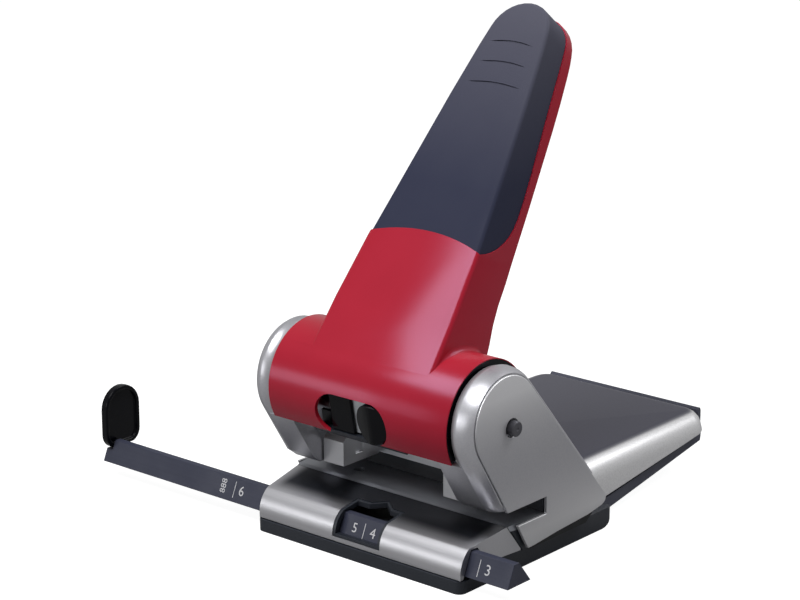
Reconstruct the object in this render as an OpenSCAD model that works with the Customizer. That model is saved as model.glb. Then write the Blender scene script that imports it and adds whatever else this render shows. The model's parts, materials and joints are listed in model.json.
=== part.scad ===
// Heavy-duty two-hole lever punch.
// Millimetres, +Z up. X runs across the punch, Y from its front edge to its back.
// The origin lies on the table, half way across, below the front edge of the foot.

/* [Punching] */
// Distance between the two punched holes
hole_pitch = 80; // [79:0.5:81]
// Diameter of the punched holes
hole_d = 5.5; // [5:0.1:6]
// Distance from the paper's edge to the middle of the holes
hole_margin = 12; // [11.5:0.1:12.5]
// Height of the gap that the paper goes into
paper_gap = 8.9; // [8.5:0.1:9]

/* [Base] */
// Width of the black foot
foot_w = 136; // [133:1:137]
// Length of the black foot
foot_l = 124; // [122:1:125]
// Height of the foot's side bars
foot_h = 10.5; // [10:0.1:10.6]
// Height of the paper deck above the table
deck_z = 26.3; // [26:0.1:26.5]
// Depth of the whole base, from its front edge to the tray's back edge
base_l = 228; // [226:1:232]
// Height of the rear cover
rear_z = 34; // [33.5:0.1:34.2]

/* [Cheeks] */
// Width over the two outer plates
cheek_span = 148; // [147:0.5:150]
// Thickness of an outer plate
cheek_t = 2; // [1.6:0.1:2]
// Radius of the rounded head of an outer plate
cheek_head_r = 23.7; // [23:0.1:24]
// Lean of a plate's front edge from the vertical
cheek_front_lean = 32; // [30:0.5:33]
// Lean of a plate's rear edge from the vertical
cheek_rear_lean = 40.2; // [39:0.1:41]

/* [Lever] */
// Pivot, measured back from the front edge
pivot_y = 32; // [31.5:0.1:32.5]
// Pivot, measured up from the table
pivot_z = 78.6; // [78:0.1:79]
// Radius of the red drum
drum_r = 31.2; // [31:0.1:31.4]
// Width of the red drum
drum_w = 116.6; // [116:0.2:117]
// Lean of the lever from the vertical at rest
lever_lean = 38; // [37:0.5:39]
// Length of the lever from the pivot to its tip
lever_len = 211.7; // [205:0.1:215]
// Turn of the lever from rest to the end of the stroke
lever_turn = 45; // [40:1:46]

/* [Paper rail] */
// How far the rail reaches out on the left
rail_left = 188.3; // [185:0.1:200]
// How far the rail reaches out on the right
rail_right = 93.7; // [90:0.1:105]

/* [Hidden] */
$fn = 48;

// Clearances
run = 0.05; // radial, of what turns or slides in a bore
seat = 0.03; // radial, of what is fixed in a bore
through = 0.5; // how far a cutting shape runs past a face

// Levels and depths that several pieces share
gap_top = deck_z + paper_gap;
hole_x = hole_pitch / 2;
stop_y = 60;
hole_y = stop_y - hole_margin;
cheek_in = cheek_span / 2 - cheek_t;
lip_h = 2;

// Widths and depths of the foot
bar_w = 7;
front_bar_l = 25;
front_bar_h = 6.5;
foot_corner = 9;
tray_pin_y = 30;
tray_pin_z = 5.6;
tray_pin_r = 2;
pad_size = [14, 4.4, 1.6];
screw_r = 1.5;
screw_y = [62, 92];

// Steel frame and die plate
steel = 2.5;
web_z = 20.6;
web_top = web_z + steel;
frame_y = 30;
frame_side_y = 50;
frame_end = 100;
tail_z = rear_z - 3.75;
tail_w = 88;
die_front = 33.8;

// Front cover: a nose of one arc, then a ramp up to the deck
sheet = 1.2;
nose_r = 13.6;
nose_c = [14.8, 10];
nose_end = 120;
ramp_end = 33.5;
cover_front_w = 67;
cover_rear_w = 71.4;
cover_rear_y = 43.3;
skirt_z = 11.2;
window_x = [-16.5, 15];
window_y = 21;
window_low = 9.3;
notch_y = 26.5;
notch_w = 7;

// Paper rail, as [depth, height]
rail_outline = [[4.3, 8.45], [9.4, 20.1], [13.0, 20.1], [22.2, 8.45]];
rail_gap = 0.9;

// Rear cover
rear_front_y = 66.2;
rear_end_y = base_l - 4.4;
rear_w = [62, 60.5];
rear_corner = 11;
side_roll = 12;
rear_roll = 4;
rear_edge = [[128, 13.1], 0.12];

// Cheek head and casing head, as [depth, height]
head_c = [28, 82];
casing_c = [29.5, 80];
casing_r = 28.5;
casing_in = 59.5;
casing_bottom = 34.6;
casing_wall = 1.5;
front_in = 47.6;
left_head = [[31, 80.3], 21.2];
// Slices of a casing: distance out, shift towards the plate's centre, radius, radius of the hollow
left_slices = [
    [0, 0, 26.3, 24.3], [1.4, 0, 27.6, 25.8], [4.5, 0, 28.5, 27], [6.5, 0, 28.3, 26.8],
    [8.5, 0, 27.1, 25.2], [10.5, 0.1, 24.9, 22.2], [12.6, 0.3, 22.4, 19]
];
right_slices = [
    [0, 0, 26.3, 24.3], [1.4, 0, 27.6, 25.8], [4.5, 0, 28.5, 27], [7.5, 0.1, 28.2, 26.7],
    [10, 0.35, 27.2, 25], [12, 0.7, 25.9, 22], [13.6, 1, 24.6, 20.5]
];
stop_top = casing_bottom - 0.1;

// Shaft and bushes
shaft_r = 5;
bush_r = 7;
sleeve_r = 10;
journal_r = 3.8;
pin_hole_r = 4.7;
bush_l = 16;

// Punches, springs and their guides
punch_r = hole_d / 2;
head_r = 5.5;
head_h = 4;
base_circle = hole_y - pivot_y;
cam_start = 45; // turn, in degrees, that the involute already has at rest
cam_w = 8;
cam_gap = 0.1;
hub_r = 13;
head_top = pivot_z - base_circle * cam_start * PI / 180 - cam_gap;
stroke = base_circle * lever_turn * PI / 180;
guide_w = 13.7;
guide_y = 28.8;
guide_top = 48;
guide_step = 38.3;
guide_front_top = 50.2;
guide_z = 34.5;
guide_back = 58;
bore_l = 4;
pocket_r = 4.9;
wire = 0.9;
coil_r = 3.9;
coils = 7;

// Lever, as half widths at distances from the pivot
arm_widths = [[0, 39.7], [35, 38.8], [70, 36.1], [112, 31.1], [154, 25.7], [184, 21.3]];
tip_r = 19.5;
arm_front = 30.5;
arm_edge = 2.2;
arm_back = [
    [206, 7], [191, 4.4], [169, 3.2], [124, 2.3], [80, 1.7], [58, 0.9], [48, -0.6], [38, -3.4], [25, -6],
    [0, -8]
];
arm_wall = 2.2;
arch_top = 78.7;
arch_r = 110;
grip_side = [
    [72.8, 60], [72.8, 28.5], [75, 24.2], [78, 20], [82, 15.8], [87, 12.1], [92, 9.7], [97, 8.3],
    [103, 7.7], [113, 7.8], [126, 8.3], [140, 9.3], [156, 10.5], [176, 11.3], [220, 12], [220, 60]
];
grip_inset = 0.7;
grip_sink = 0.4;
drum_wall = 2.2;
drum_end = 3;
cap_t = 1.2;
drum_low = -68; // turn of the drum's lower front edge from the lever's front
drum_high = 127; // turn of its rear edge
window_turn = -48.5;
window_r = 11.2;
window_ends = [-15.8, 8.8];
grip_screw_s = [100, 140, 180];

// Lock
lock_travel = 24;
knob_r = 10.6;
bolt_r = 2.5;
bolt_at = 21.3;

// Points along an arc, as [across, up] from its centre
function arc(c, r, from, to, n = 12) = [
    for (i = [0:n]) let (a = from + (to - from) * i / n) c + r * [cos(a), sin(a)]
];

// A side outline, drawn as [depth, height], made into a solid of this width
module across(width, at = 0) {
    translate([at, 0, 0]) rotate([90, 0, 90]) linear_extrude(width, center = true) children();
}

// A round bar along X
module bar(r, length, at = 0) {
    translate([at, 0, 0]) rotate([0, 90, 0]) cylinder(r = r, h = length, center = true);
}

// The same thing on both sides of the middle
module both_sides() {
    children();
    mirror([1, 0, 0]) children();
}

// From the lever's own axes: X across, Y along the lever, Z out of its front
module along_lever() {
    translate([0, pivot_y, pivot_z]) rotate([90 - lever_lean, 0, 0]) children();
}

// From the window's own axes, with Z out of the drum through the window
module at_window() {
    along_lever() rotate([-window_turn, 0, 0]) children();
}

// ---------------------------------------------------------------- base

// The side view of the foot: a low front bar and two higher side bars with a round rear end
module foot_side() {
    polygon(concat(
        [[0, 0], [0, front_bar_h], [front_bar_l + 3, front_bar_h], [front_bar_l + 7, foot_h]],
        [[foot_l, foot_h], [foot_l, foot_corner]],
        arc([foot_l - foot_corner, foot_corner], foot_corner, 0, -90, 6)
    ));
}

module pad_at(x, y) {
    translate([x, y, 0]) linear_extrude(pad_size[2]) square([pad_size[1], pad_size[0]], center = true);
}

module pads() {
    both_sides() for (y = [46, 108]) pad_at(foot_w / 2 - bar_w / 2, y);
}

module base_foot() {
    inner_w = foot_w - 2 * bar_w;
    color("#23262d") difference() {
        intersection() {
            across(foot_w) foot_side();
            linear_extrude(foot_h) translate([0, foot_l / 2]) round_square([foot_w, foot_l], 4);
        }
        translate([-inner_w / 2, front_bar_l, -through]) cube([inner_w, foot_l, foot_h + 1]);
        translate([0, tray_pin_y, tray_pin_z]) bar(tray_pin_r + seat, foot_w - 3);
        both_sides() for (y = screw_y) translate([foot_w / 2 - bar_w / 2, y, 0]) {
            cylinder(r = screw_r + seat, h = foot_h + 1);
            translate([0, 0, -through]) cylinder(r = 2 * screw_r, h = 4 + through);
        }
        pads();
        translate([0, 0, -1]) pads();
    }
}

// A rectangle with round corners
module round_square(size, r) {
    x = size[0] / 2 - r;
    y = size[1] / 2 - r;
    polygon(concat(
        arc([x, y], r, 0, 90, 6), arc([-x, y], r, 90, 180, 6),
        arc([-x, -y], r, 180, 270, 6), arc([x, -y], r, 270, 360, 6)
    ));
}

module foot_pads() {
    color("#17181a") pads();
}

module frame_screws() {
    color("#8c8f94") both_sides() for (y = screw_y) translate([foot_w / 2 - bar_w / 2, y, 0]) {
        translate([0, 0, 2]) cylinder(r = 2 * screw_r - seat, h = 2);
        translate([0, 0, 2]) cylinder(r = screw_r, h = foot_h + lip_h - 2);
    }
}

// Folded steel frame: web, side flanges with inward lips, and a raised tail
module base_frame() {
    side_x = cheek_in - steel / 2;
    color("#6f7277") difference() {
        union() {
            translate([-64, frame_y, web_z]) cube([128, frame_end - frame_y, steel]);
            translate([-cheek_in, frame_side_y, web_z])
                cube([2 * cheek_in, frame_end - frame_side_y, steel]);
            both_sides() {
                across(steel, side_x) polygon([
                    [frame_side_y, foot_h], [frame_side_y, web_top], [frame_end, web_top], [frame_end, 14],
                    [frame_end - 5, foot_h]
                ]);
                translate([cheek_in - 10, frame_side_y, foot_h])
                    cube([10, frame_end - 5 - frame_side_y, lip_h]);
            }
            across(tail_w) polygon([
                [frame_end - 1, web_z], [frame_end - 1, web_top], [frame_end + 9, web_top],
                [128, tail_z + steel], [rear_end_y - 12, tail_z + steel], [rear_end_y - 12, tail_z],
                [129, tail_z], [frame_end + 10, web_z]
            ]);
        }
        both_sides() {
            translate([hole_x, hole_y, web_z - through]) cylinder(r = head_r, h = steel + 1);
            for (y = screw_y) translate([foot_w / 2 - bar_w / 2, y, foot_h - through])
                cylinder(r = screw_r + seat, h = lip_h + 1);
        }
    }
}

// Deck plate with the two dies, its front edge falling away to meet the ramp
module die_plate() {
    color("#9a9ca1") difference() {
        intersection() {
            across(2 * cheek_in - 0.4) polygon([
                [die_front + 1.75, web_top + 0.05], [die_front, deck_z - 0.45], [36.4, deck_z],
                [stop_y + 1.8, deck_z], [stop_y + 1.8, web_top + 0.05]
            ]);
            linear_extrude(40) polygon([
                [-69.8, 33], [69.8, 33], [cheek_in, 44], [cheek_in, 70], [-cheek_in, 70], [-cheek_in, 44]
            ]);
        }
        both_sides() translate([hole_x, hole_y, web_z]) {
            cylinder(r = punch_r + run, h = deck_z);
            cylinder(r = punch_r + 1, h = web_top - web_z + 1.6);
        }
    }
}

// Side view of the front cover, its sheet moved inwards by t
module cover_side(t, back) {
    ramp = (deck_z - nose_c[1] - nose_r * sin(nose_end)) / (36.4 - nose_c[0] - nose_r * cos(nose_end));
    polygon(concat(
        [[nose_c[0] - nose_r + t, 0]],
        arc(nose_c, nose_r - t, 180, nose_end, 10),
        [
            [ramp_end + back, deck_z - (36.4 - ramp_end - back) * ramp - t],
            [cover_rear_y + back, skirt_z + 1], [cover_rear_y + back, 0]
        ]
    ));
}

// Plan of the front cover, its sheet moved inwards by t
module cover_plan(t) {
    polygon([
        [-cover_front_w + t, -1], [cover_front_w - t, -1], [cover_front_w - t, 8],
        [cover_rear_w - t, 50], [-cover_rear_w + t, 50], [-cover_front_w + t, 8]
    ]);
}

module front_cover() {
    color("#c4c6ca") difference() {
        intersection() {
            across(2 * cover_rear_w) cover_side(0, 0);
            linear_extrude(40) cover_plan(0);
        }
        intersection() {
            across(2 * cover_rear_w) cover_side(sheet, 20);
            translate([0, 0, -1]) linear_extrude(42) cover_plan(sheet);
        }
        // Skirt's lower edge, the nose's lower edge and the openings for the rail
        across(2 * cheek_span)
            polygon([[-1, -1], [-1, 7], [26, 7], [27, skirt_z], [50, skirt_z], [50, -1]]);
        across(2 * cheek_span) rail_way(rail_gap);
        // Window in nose and ramp, with a V that marks the middle
        above(window_low) window_plan(0);
    }
}

// The rail's section, grown by g all round and open below
module rail_way(g) {
    polygon([
        [rail_outline[0][0] - g, 6], [rail_outline[0][0] - g, 7.2], [rail_outline[1][0] - 0.2, 20.9],
        [rail_outline[2][0] + g / 2, 20.9], [rail_outline[3][0] + 2 * g, 8], [rail_outline[3][0] + 2 * g, 6]
    ]);
}

// Plan of the window, with a V at the back that marks the middle, its edge moved in by t
module window_plan(t) {
    polygon([
        [window_x[0] + t, -1], [window_x[1] - t, -1], [window_x[1] - t, window_y - t],
        [notch_w, window_y - t], [0, notch_y - t], [-notch_w, window_y - t], [window_x[0] + t, window_y - t]
    ]);
}

// A plan made into a solid from height z up
module above(z) {
    translate([0, 0, z]) linear_extrude(40) children();
}

// Black bezel in the window: a rim flush with the sheet, and a lip behind it
module window_frame() {
    wall = 1.8;
    depth = 3;
    color("#1b1d22") difference() {
        union() {
            intersection() {
                across(60) cover_side(0.3, 0);
                above(window_low + 0.05) window_plan(0.05);
            }
            intersection() {
                across(60) cover_side(sheet + 0.05, 0);
                above(window_low - 1) window_plan(-2.4);
            }
        }
        across(62) cover_side(depth, 20);
        above(window_low + 1.6) window_plan(wall);
        across(2 * cheek_span) rail_way(0.6);
        translate([-50, 27.5, 0]) cube([100, 50, 50]);
    }
}

// Bed and back ridge that guide the rail
module rail_guide() {
    color("#1b1d22") {
        translate([-64, 4.6, front_bar_h + 0.05]) cube([128, 21.4, 1.8]);
        across(128) polygon([[24, 7], [26.2, 7], [26.2, 14], [18.6, 14]]);
    }
}

// Black filler that stands on the foot in the slanted gap between front cover and plate
module gap_filler(side) {
    low = foot_h + 0.05;
    color("#1b1d22") across(6.6, side * 67.7)
        polygon([[35.8, 23.1], [48.5, 23.1], [49.5, low], [44.9, low]]);
}

// Plan of the rear cover, its edge moved in by s at the sides and by b at the back
module rear_plan(s, b, front) {
    w0 = rear_w[0] - s;
    w1 = rear_w[1] - s;
    r = rear_corner - max(s, b) / 2;
    c = [w1 - r, rear_end_y - b - r];
    polygon(concat([[-w0, front], [w0, front]], arc(c, r, 0, 90, 6), arc([-c[0], c[1]], r, 90, 180, 6)));
}

// Solid form of the rear cover, its sheet moved in by t: flat top, rolled sides, tighter roll at the back
module rear_form(t, front) {
    hull() {
        translate([0, 0, 8]) linear_extrude(0.01) rear_plan(t, t, front);
        for (a = [0:15:90]) {
            rise = (side_roll - t) * sin(a);
            level = rear_z - side_roll + rise;
            up = max(0, min(1, (level - rear_z + rear_roll) / (rear_roll - t)));
            translate([0, 0, level - 0.01]) linear_extrude(0.01)
                rear_plan(
                    t + (side_roll - t) * (1 - cos(a)), t + (rear_roll - t) * (1 - sqrt(1 - up * up)), front
                );
        }
    }
}

// Height of the rear cover's lower edge
function edge_z(y) = rear_edge[0][1] + (y - rear_edge[0][0]) * rear_edge[1];

module rear_cover() {
    color("#b9bbc0") difference() {
        rear_form(0, rear_front_y);
        rear_form(sheet, rear_front_y - 1);
        across(2 * cheek_span) polygon([
            [0, 0], [0, web_top + 0.05], [102, web_top + 0.05], [108, edge_z(108)],
            [base_l + 10, edge_z(base_l + 10)], [base_l + 10, 0]
        ]);
    }
}

// Black bar that stops the paper
module back_stop() {
    color("#1b1d22") across(2 * cheek_in - 1) polygon([
        [stop_y + 0.1, deck_z + 0.1], [stop_y + 0.1, stop_top], [stop_y + 5.8, stop_top],
        [stop_y + 5.8, web_top + 0.1], [stop_y + 2, web_top + 0.1], [stop_y + 2, deck_z + 0.1]
    ]);
}

// ---------------------------------------------------------------- cheeks

// Where the leaning edges leave the head of radius r about c
function lean_front(c, r) = c - r * [cos(cheek_front_lean), sin(cheek_front_lean)];
function lean_rear(c, r) = c + r * [cos(cheek_rear_lean), sin(cheek_rear_lean)];

// Depth of the leaning edges at height z
function front_edge(c, r, z) = lean_front(c, r)[0] + (lean_front(c, r)[1] - z) * tan(cheek_front_lean);
function rear_edge_y(c, r, z) = lean_rear(c, r)[0] + (lean_rear(c, r)[1] - z) * tan(cheek_rear_lean);

// The outer plate: round head of radius r about c, leaning edges, open paper slot and a bowed lower edge
module cheek_outline(c, r) {
    heel = [rear_edge_y(c, r, 22.5), 22.5];
    polygon(concat(
        arc(c, r, 180 + cheek_front_lean, cheek_rear_lean, 28),
        [heel, heel + [0.4, -1.5], heel + [0, -2.9], heel + [-1.2, -4.2], heel + [-3.3, -5.2]],
        [[94.6, 15.5], [69.1, 14.1], [50.5, 12.5], [45.6, 12.3]],
        [[37.2, deck_z], [stop_y, deck_z], [stop_y, gap_top]],
        [[front_edge(c, r, gap_top), gap_top]]
    ));
}

// The left plate has the smaller head
module plate_outline(side, g = 0) {
    if (side > 0) cheek_outline(head_c, cheek_head_r + g);
    else cheek_outline(left_head[0], left_head[1] + g);
}

module cheek(side) {
    color("#a6a8ad") difference() {
        across(cheek_t, side * (cheek_in + cheek_t / 2)) plate_outline(side);
        translate([0, pivot_y, pivot_z]) bar(pin_hole_r, 10, side * cheek_in);
    }
}

// The casing's outline with head radius r, its centre moved by b from its own towards the plate's
module casing_outline(side, r, b) {
    c = casing_c + b * ((side > 0 ? head_c : left_head[0]) - casing_c);
    bottom = casing_bottom + (casing_r - r) / 2;
    polygon(concat(
        arc(c, r, 180 + cheek_front_lean, cheek_rear_lean, 24),
        [
            [rear_edge_y(c, r, bottom), bottom], [front_edge(c, r, bottom) + 3, bottom],
            [front_edge(c, r, bottom + 4), bottom + 4]
        ]
    ));
}

// Domed form of the casing between drum and plate, or the hollow in it
module casing_form(side, column) {
    hull() for (s = side > 0 ? right_slices : left_slices)
        across(0.02, side * (casing_in + 0.01 + s[0])) casing_outline(side, s[column], s[1]);
}

// Folded front wall that reaches in below the drum as far as the guides, with its inner flange
module casing_front(side) {
    wall = 2;
    out = [cos(cheek_front_lean), sin(cheek_front_lean)];
    down = [sin(cheek_front_lean), -cos(cheek_front_lean)];
    top = casing_c - (casing_r - 0.05) * out + 2.9 * down;
    low_z = casing_bottom + 4;
    low = [top[0] + (top[1] - low_z) * tan(cheek_front_lean), low_z];
    foot = low + [5, -4];
    across(casing_in + 5 - front_in, side * (casing_in + 5 + front_in) / 2) polygon([
        top, low, foot, [36, foot[1]], [36, foot[1] + wall], foot + [0.6, wall], low + wall * out,
        top + wall * out
    ]);
    across(1.7, side * (front_in + 0.85)) polygon([
        top, low, foot, [36, foot[1]], [36, foot[1] + 4], top + 9 * out + 30 * down, top + 9 * out
    ]);
}

module casing(side) {
    lock_places = [0, lever_turn];
    color("#a2a4a9") difference() {
        union() {
            difference() {
                casing_form(side, 2);
                intersection() {
                    casing_form(side, 3);
                    translate([side * (casing_in + casing_wall + 20), 50, 70])
                        cube([40, 200, 200], center = true);
                }
            }
            casing_front(side);
        }
        across(4, side * (cheek_in + 1.9)) plate_outline(side, 0.35);
        translate([0, pivot_y, pivot_z]) bar(shaft_r + seat, 10, side * casing_in);
        for (a = lock_places) translate([0, pivot_y, pivot_z])
            rotate([-a, 0, 0]) rotate([90 - lever_lean - window_turn, 0, 0])
                translate([0, 0, bolt_at]) bar(bolt_r + 0.4, 10, side * casing_in);
    }
}

// Shaft with a turned-down journal at each end
module pivot_shaft() {
    color("#b4b6ba") translate([0, pivot_y, pivot_z]) {
        bar(shaft_r, 2 * cheek_in - 0.4);
        bar(journal_r, cheek_span - 2);
    }
}

// Open rings that hold the shaft inside the casings
module shaft_clips() {
    color("#3c3e42") translate([0, pivot_y, pivot_z]) both_sides() difference() {
        bar(shaft_r + 3.4, 1.2, casing_in + casing_wall + 0.65);
        bar(shaft_r + seat, 4, casing_in + casing_wall + 0.65);
        translate([casing_in + casing_wall + 0.65, 0, -6]) cube([4, 2 * shaft_r - 3, 12], center = true);
    }
}

// Wall between the casings that carries the guides
module guide_bridge() {
    color("#a9abb0") across(2 * casing_in) polygon([
        [guide_back, casing_bottom], [guide_back, 51], [guide_back + 2.3, 52], [guide_back + 2.3, 38],
        [stop_y + 5.8, 37], [stop_y + 5.8, casing_bottom]
    ]);
}

// Guide block: bore for the punch, pocket for its spring, side slot, sloped nose
module guide(side) {
    color("#c2c4c8") difference() {
        translate([side * hole_x, 0, 0]) across(guide_w) polygon([
            [guide_y, guide_z], [guide_y, guide_front_top - 3], [guide_y + 3, guide_front_top],
            [guide_step, guide_front_top], [guide_step, guide_top], [guide_back, guide_top],
            [guide_back, guide_z + 1.5], [guide_back - 2, guide_z]
        ]);
        translate([side * hole_x, hole_y, guide_z - through]) cylinder(r = punch_r + run, h = guide_top);
        translate([side * hole_x, hole_y, guide_z + bore_l]) cylinder(r = pocket_r, h = guide_top);
        for (s = [-1, 1]) translate([side * hole_x + s * guide_w / 2, guide_step + 2.8, 51])
            cube([3, 5.6, 24], center = true);
    }
}

// ---------------------------------------------------------------- chip tray

// Height of the tray's raised rear floor and of its rim
function tray_floor(y) = 5 + 0.126 * (y - 131);
function tray_rim(y) = 11.3 + 0.092 * (y - 126);

module tray_side(t) {
    polygon(concat(
        [[tray_pin_y + 2, 1.2 + t], [121, 1.2 + t], [126, tray_floor(126) + t]],
        [[base_l - 2 - t, tray_floor(base_l - 2) + t], [base_l - t, tray_floor(base_l) + 1.5 + t]],
        [[base_l - t, tray_rim(base_l) + 3 * t], [124, tray_rim(124) + t]],
        [[124, 9.6 + t], [tray_pin_y + 2, 9.6 + t]]
    ));
}

module tray_plan(t) {
    front_w = foot_w / 2 - bar_w - 1.5 - t;
    polygon([
        [-front_w, tray_pin_y + t], [front_w, tray_pin_y + t], [front_w, 125], [rear_w[0] - 1.4 - t, 125.5],
        [rear_w[1] - 5.5 - t, base_l - 6], [rear_w[1] - 9 - t, base_l - t], [-rear_w[1] + 9 + t, base_l - t],
        [-rear_w[1] + 5.5 + t, base_l - 6], [-rear_w[0] + 1.4 + t, 125.5], [-front_w, 125]
    ]);
}

module chip_tray() {
    wall = 1.8;
    inner_w = foot_w - 2 * bar_w - 3;
    color("#2b2e36") difference() {
        union() {
            difference() {
                intersection() {
                    across(2 * rear_w[0]) tray_side(0);
                    linear_extrude(60) tray_plan(0);
                }
                intersection() {
                    across(2 * rear_w[0]) tray_side(wall);
                    linear_extrude(60) tray_plan(wall);
                }
            }
            // Hinge barrel along the front edge
            translate([0, tray_pin_y, tray_pin_z]) bar(3.6, inner_w);
            // Finger grip that stands up behind the rear cover
            across(102) polygon([
                [base_l - 2.6, tray_rim(base_l) - 1.5], [base_l - 2.6, rear_z - 2],
                [base_l - 1.6, rear_z - 1], [base_l - 0.6, rear_z - 1], [base_l, rear_z - 2.5],
                [base_l, tray_rim(base_l) - 1.5]
            ]);
            // Skids under the raised floor
            both_sides() across(3, 24) polygon([
                [124, 2], [128, 0.4], [196, 0.4], [206, tray_floor(206) + 0.5], [124, 5]
            ]);
        }
        translate([0, tray_pin_y, tray_pin_z]) bar(tray_pin_r + run, foot_w);
    }
}

module tray_pin() {
    color("#8c8f94") translate([0, tray_pin_y, tray_pin_z]) bar(tray_pin_r, foot_w - 4);
}

// ---------------------------------------------------------------- lever

// Plan of the arm along the lever, moved in by t
module arm_plan(t) {
    right = [for (p = arm_widths) [p[1] - t, p[0]]];
    left = [for (i = [len(right) - 1:-1:0]) [-right[i][0], right[i][1]]];
    polygon(concat(right, arc([0, lever_len - tip_r], tip_r - t, 8, 172, 14), left));
}

// Arm with rounded front edges, its face moved back by d and its sides in by t
module arm_form(t, d) {
    hull() {
        for (a = [0:22.5:90]) translate([0, 0, arm_front - d - arm_edge * (1 - cos(a)) - 0.01])
            linear_extrude(0.01) arm_plan(t + arm_edge * (1 - sin(a)));
        translate([0, 0, -30]) linear_extrude(0.01) arm_plan(t);
    }
}

// What lies behind the arm's back edge, as [along, out of the front]
module arm_back_cut() {
    polygon(concat([[lever_len + 5, -60], [lever_len + 5, 9]], arm_back, [[-50, -8], [-50, -60]]));
}

// Where the grip covers the arm, grown by g: above an arch on the face, then down to the red rim
module grip_zone(g) {
    difference() {
        translate([0, -g, -g]) across(100) polygon(grip_side);
        translate([0, arch_top - arch_r, 10]) cylinder(r = arch_r - g, h = 50, $fn = 96);
    }
}

// A pie slice about the drum's axis, as [along, out of the front]
module drum_slice() {
    reach = 60;
    polygon(concat([[0, 0]], arc([0, 0], reach, 90 - drum_low, 90 - drum_high, 12)));
}

module drum() {
    intersection() {
        difference() {
            bar(drum_r, drum_w, $fn = 96);
            bar(drum_r - drum_wall, drum_w - 2 * drum_end, $fn = 96);
        }
        across(2 * drum_w) drum_slice();
    }
    both_sides() bar(hub_r, drum_end, (drum_w - drum_end) / 2);
}

// Hollow of the arm, open at the back and down into the drum, a skin deeper under the grip
module arm_hollow() {
    intersection() {
        union() {
            arm_form(2 * arm_wall, 2 * arm_wall);
            difference() {
                arm_form(arm_wall, arm_wall);
                grip_zone(arm_wall);
            }
        }
        across(100) polygon([[8, -2], [34, -2], [36, -40], [lever_len, -40], [lever_len, 40], [8, 40]]);
    }
}

module lever_shell() {
    color("#b3202f") along_lever() difference() {
        union() {
            difference() {
                arm_form(0, 0);
                bar(drum_r - 1, drum_w);
                difference() {
                    grip_zone(0);
                    arm_form(arm_wall + 0.05, arm_wall + 0.05);
                }
                across(100) arm_back_cut();
            }
            drum();
        }
        arm_hollow();
        bar(bush_r + seat, 2 * drum_w);
        both_sides() bar(drum_r - 0.5, 2 * cap_t, drum_w / 2);
        rotate([-window_turn, 0, 0]) {
            window_oblong();
            translate([0, 0, bolt_at]) bar(bolt_r + 0.4, 10, -drum_w / 2);
        }
        for (s = grip_screw_s) translate([0, s, 10]) cylinder(r = screw_r + 0.1, h = 30);
    }
}

// An oblong through the drum's wall
module window_oblong() {
    for (x = window_ends) translate([x, 0, 10]) cylinder(r = window_r, h = 40);
    translate([window_ends[0], -window_r, 10]) cube([window_ends[1] - window_ends[0], 2 * window_r, 40]);
}

module lever_grip() {
    color("#34363f") along_lever() difference() {
        intersection() {
            arm_form(grip_inset, grip_sink);
            grip_zone(-0.05);
        }
        arm_form(arm_wall, arm_wall);
        for (s = grip_screw_s) translate([0, s, 10]) cylinder(r = screw_r + seat, h = arm_front - 10 - 1);
    }
}

module grip_screws() {
    color("#8c8f94") along_lever() for (s = grip_screw_s) translate([0, s, arm_front - 1.2]) {
        translate([0, 0, -5]) cylinder(r = screw_r, h = 5);
        translate([0, 0, -5]) cylinder(r = 2 * screw_r, h = 1.8);
    }
}

// Sleeve on the bushes, with two arms up to the lever's face
module lever_frame() {
    color("#7d8086") along_lever() difference() {
        union() {
            bar(sleeve_r, drum_w - 2 * drum_end - 0.2);
            both_sides() across(3, 27) polygon([
                [-6, 8], [12, -1.4], [64, 8], [64, 26], [30, 28], [8, 27]
            ]);
        }
        bar(bush_r + seat, 2 * drum_w);
    }
}

// Black disc that closes the end of the drum
module drum_cap(side) {
    color("#17181b") along_lever() difference() {
        union() {
            intersection() {
                bar(drum_r - 0.53, cap_t - 0.02, side * (drum_w - cap_t) / 2);
                across(2 * drum_w) drum_slice();
            }
            bar(hub_r, cap_t - 0.02, side * (drum_w - cap_t) / 2);
        }
        bar(bush_r + seat, 2 * drum_w);
        rotate([-window_turn, 0, 0]) translate([0, 0, bolt_at]) bar(bolt_r + 0.4, 10, -drum_w / 2);
    }
}

module bush(side) {
    color("#b08d4c") translate([0, pivot_y, pivot_z]) difference() {
        bar(bush_r, bush_l, side * (drum_w / 2 - bush_l / 2));
        bar(shaft_r + run, 2 * drum_w);
    }
}

// A point of the involute that lies on the vertical through the punch once the lever has turned by a
function involute(a) = base_circle * ([cos(a), sin(a)] + (cam_start + a) * PI / 180 * [sin(a), -cos(a)]);

// Cam whose involute edge drives the punch straight down, evenly with the lever's turn
module cam(side) {
    flank = [for (a = [0:3:lever_turn]) involute(a)];
    tip = flank[len(flank) - 1];
    color("#8f9298") translate([0, pivot_y, pivot_z]) difference() {
        union() {
            across(cam_w, side * hole_x) polygon(concat(
                [[0, 0], [-2, -hub_r + 0.5], [9, -hub_r + 0.6]], flank, [tip + [-2, 5], [18, 5], [10, 8]]
            ));
            bar(hub_r, cam_w, side * hole_x);
        }
        bar(sleeve_r + seat, 2 * drum_w);
    }
}

// Black moulding behind the window: floor, two rails with lips, groove for the bolt's block
module lock_carrier() {
    color("#24262b") at_window() difference() {
        intersection() {
            translate([-34, -14.4, 14]) cube([60, 28.8, 14]);
            bar(drum_r - drum_wall - 0.02, 100, -4);
        }
        translate([-50, -12.6, 19.8]) cube([100, 25.2, 3]);
        translate([-50, -10.9, 22]) cube([100, 21.8, 6]);
        translate([-50, -5.4, 17.9]) cube([100, 10.8, 6]);
    }
}

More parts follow.
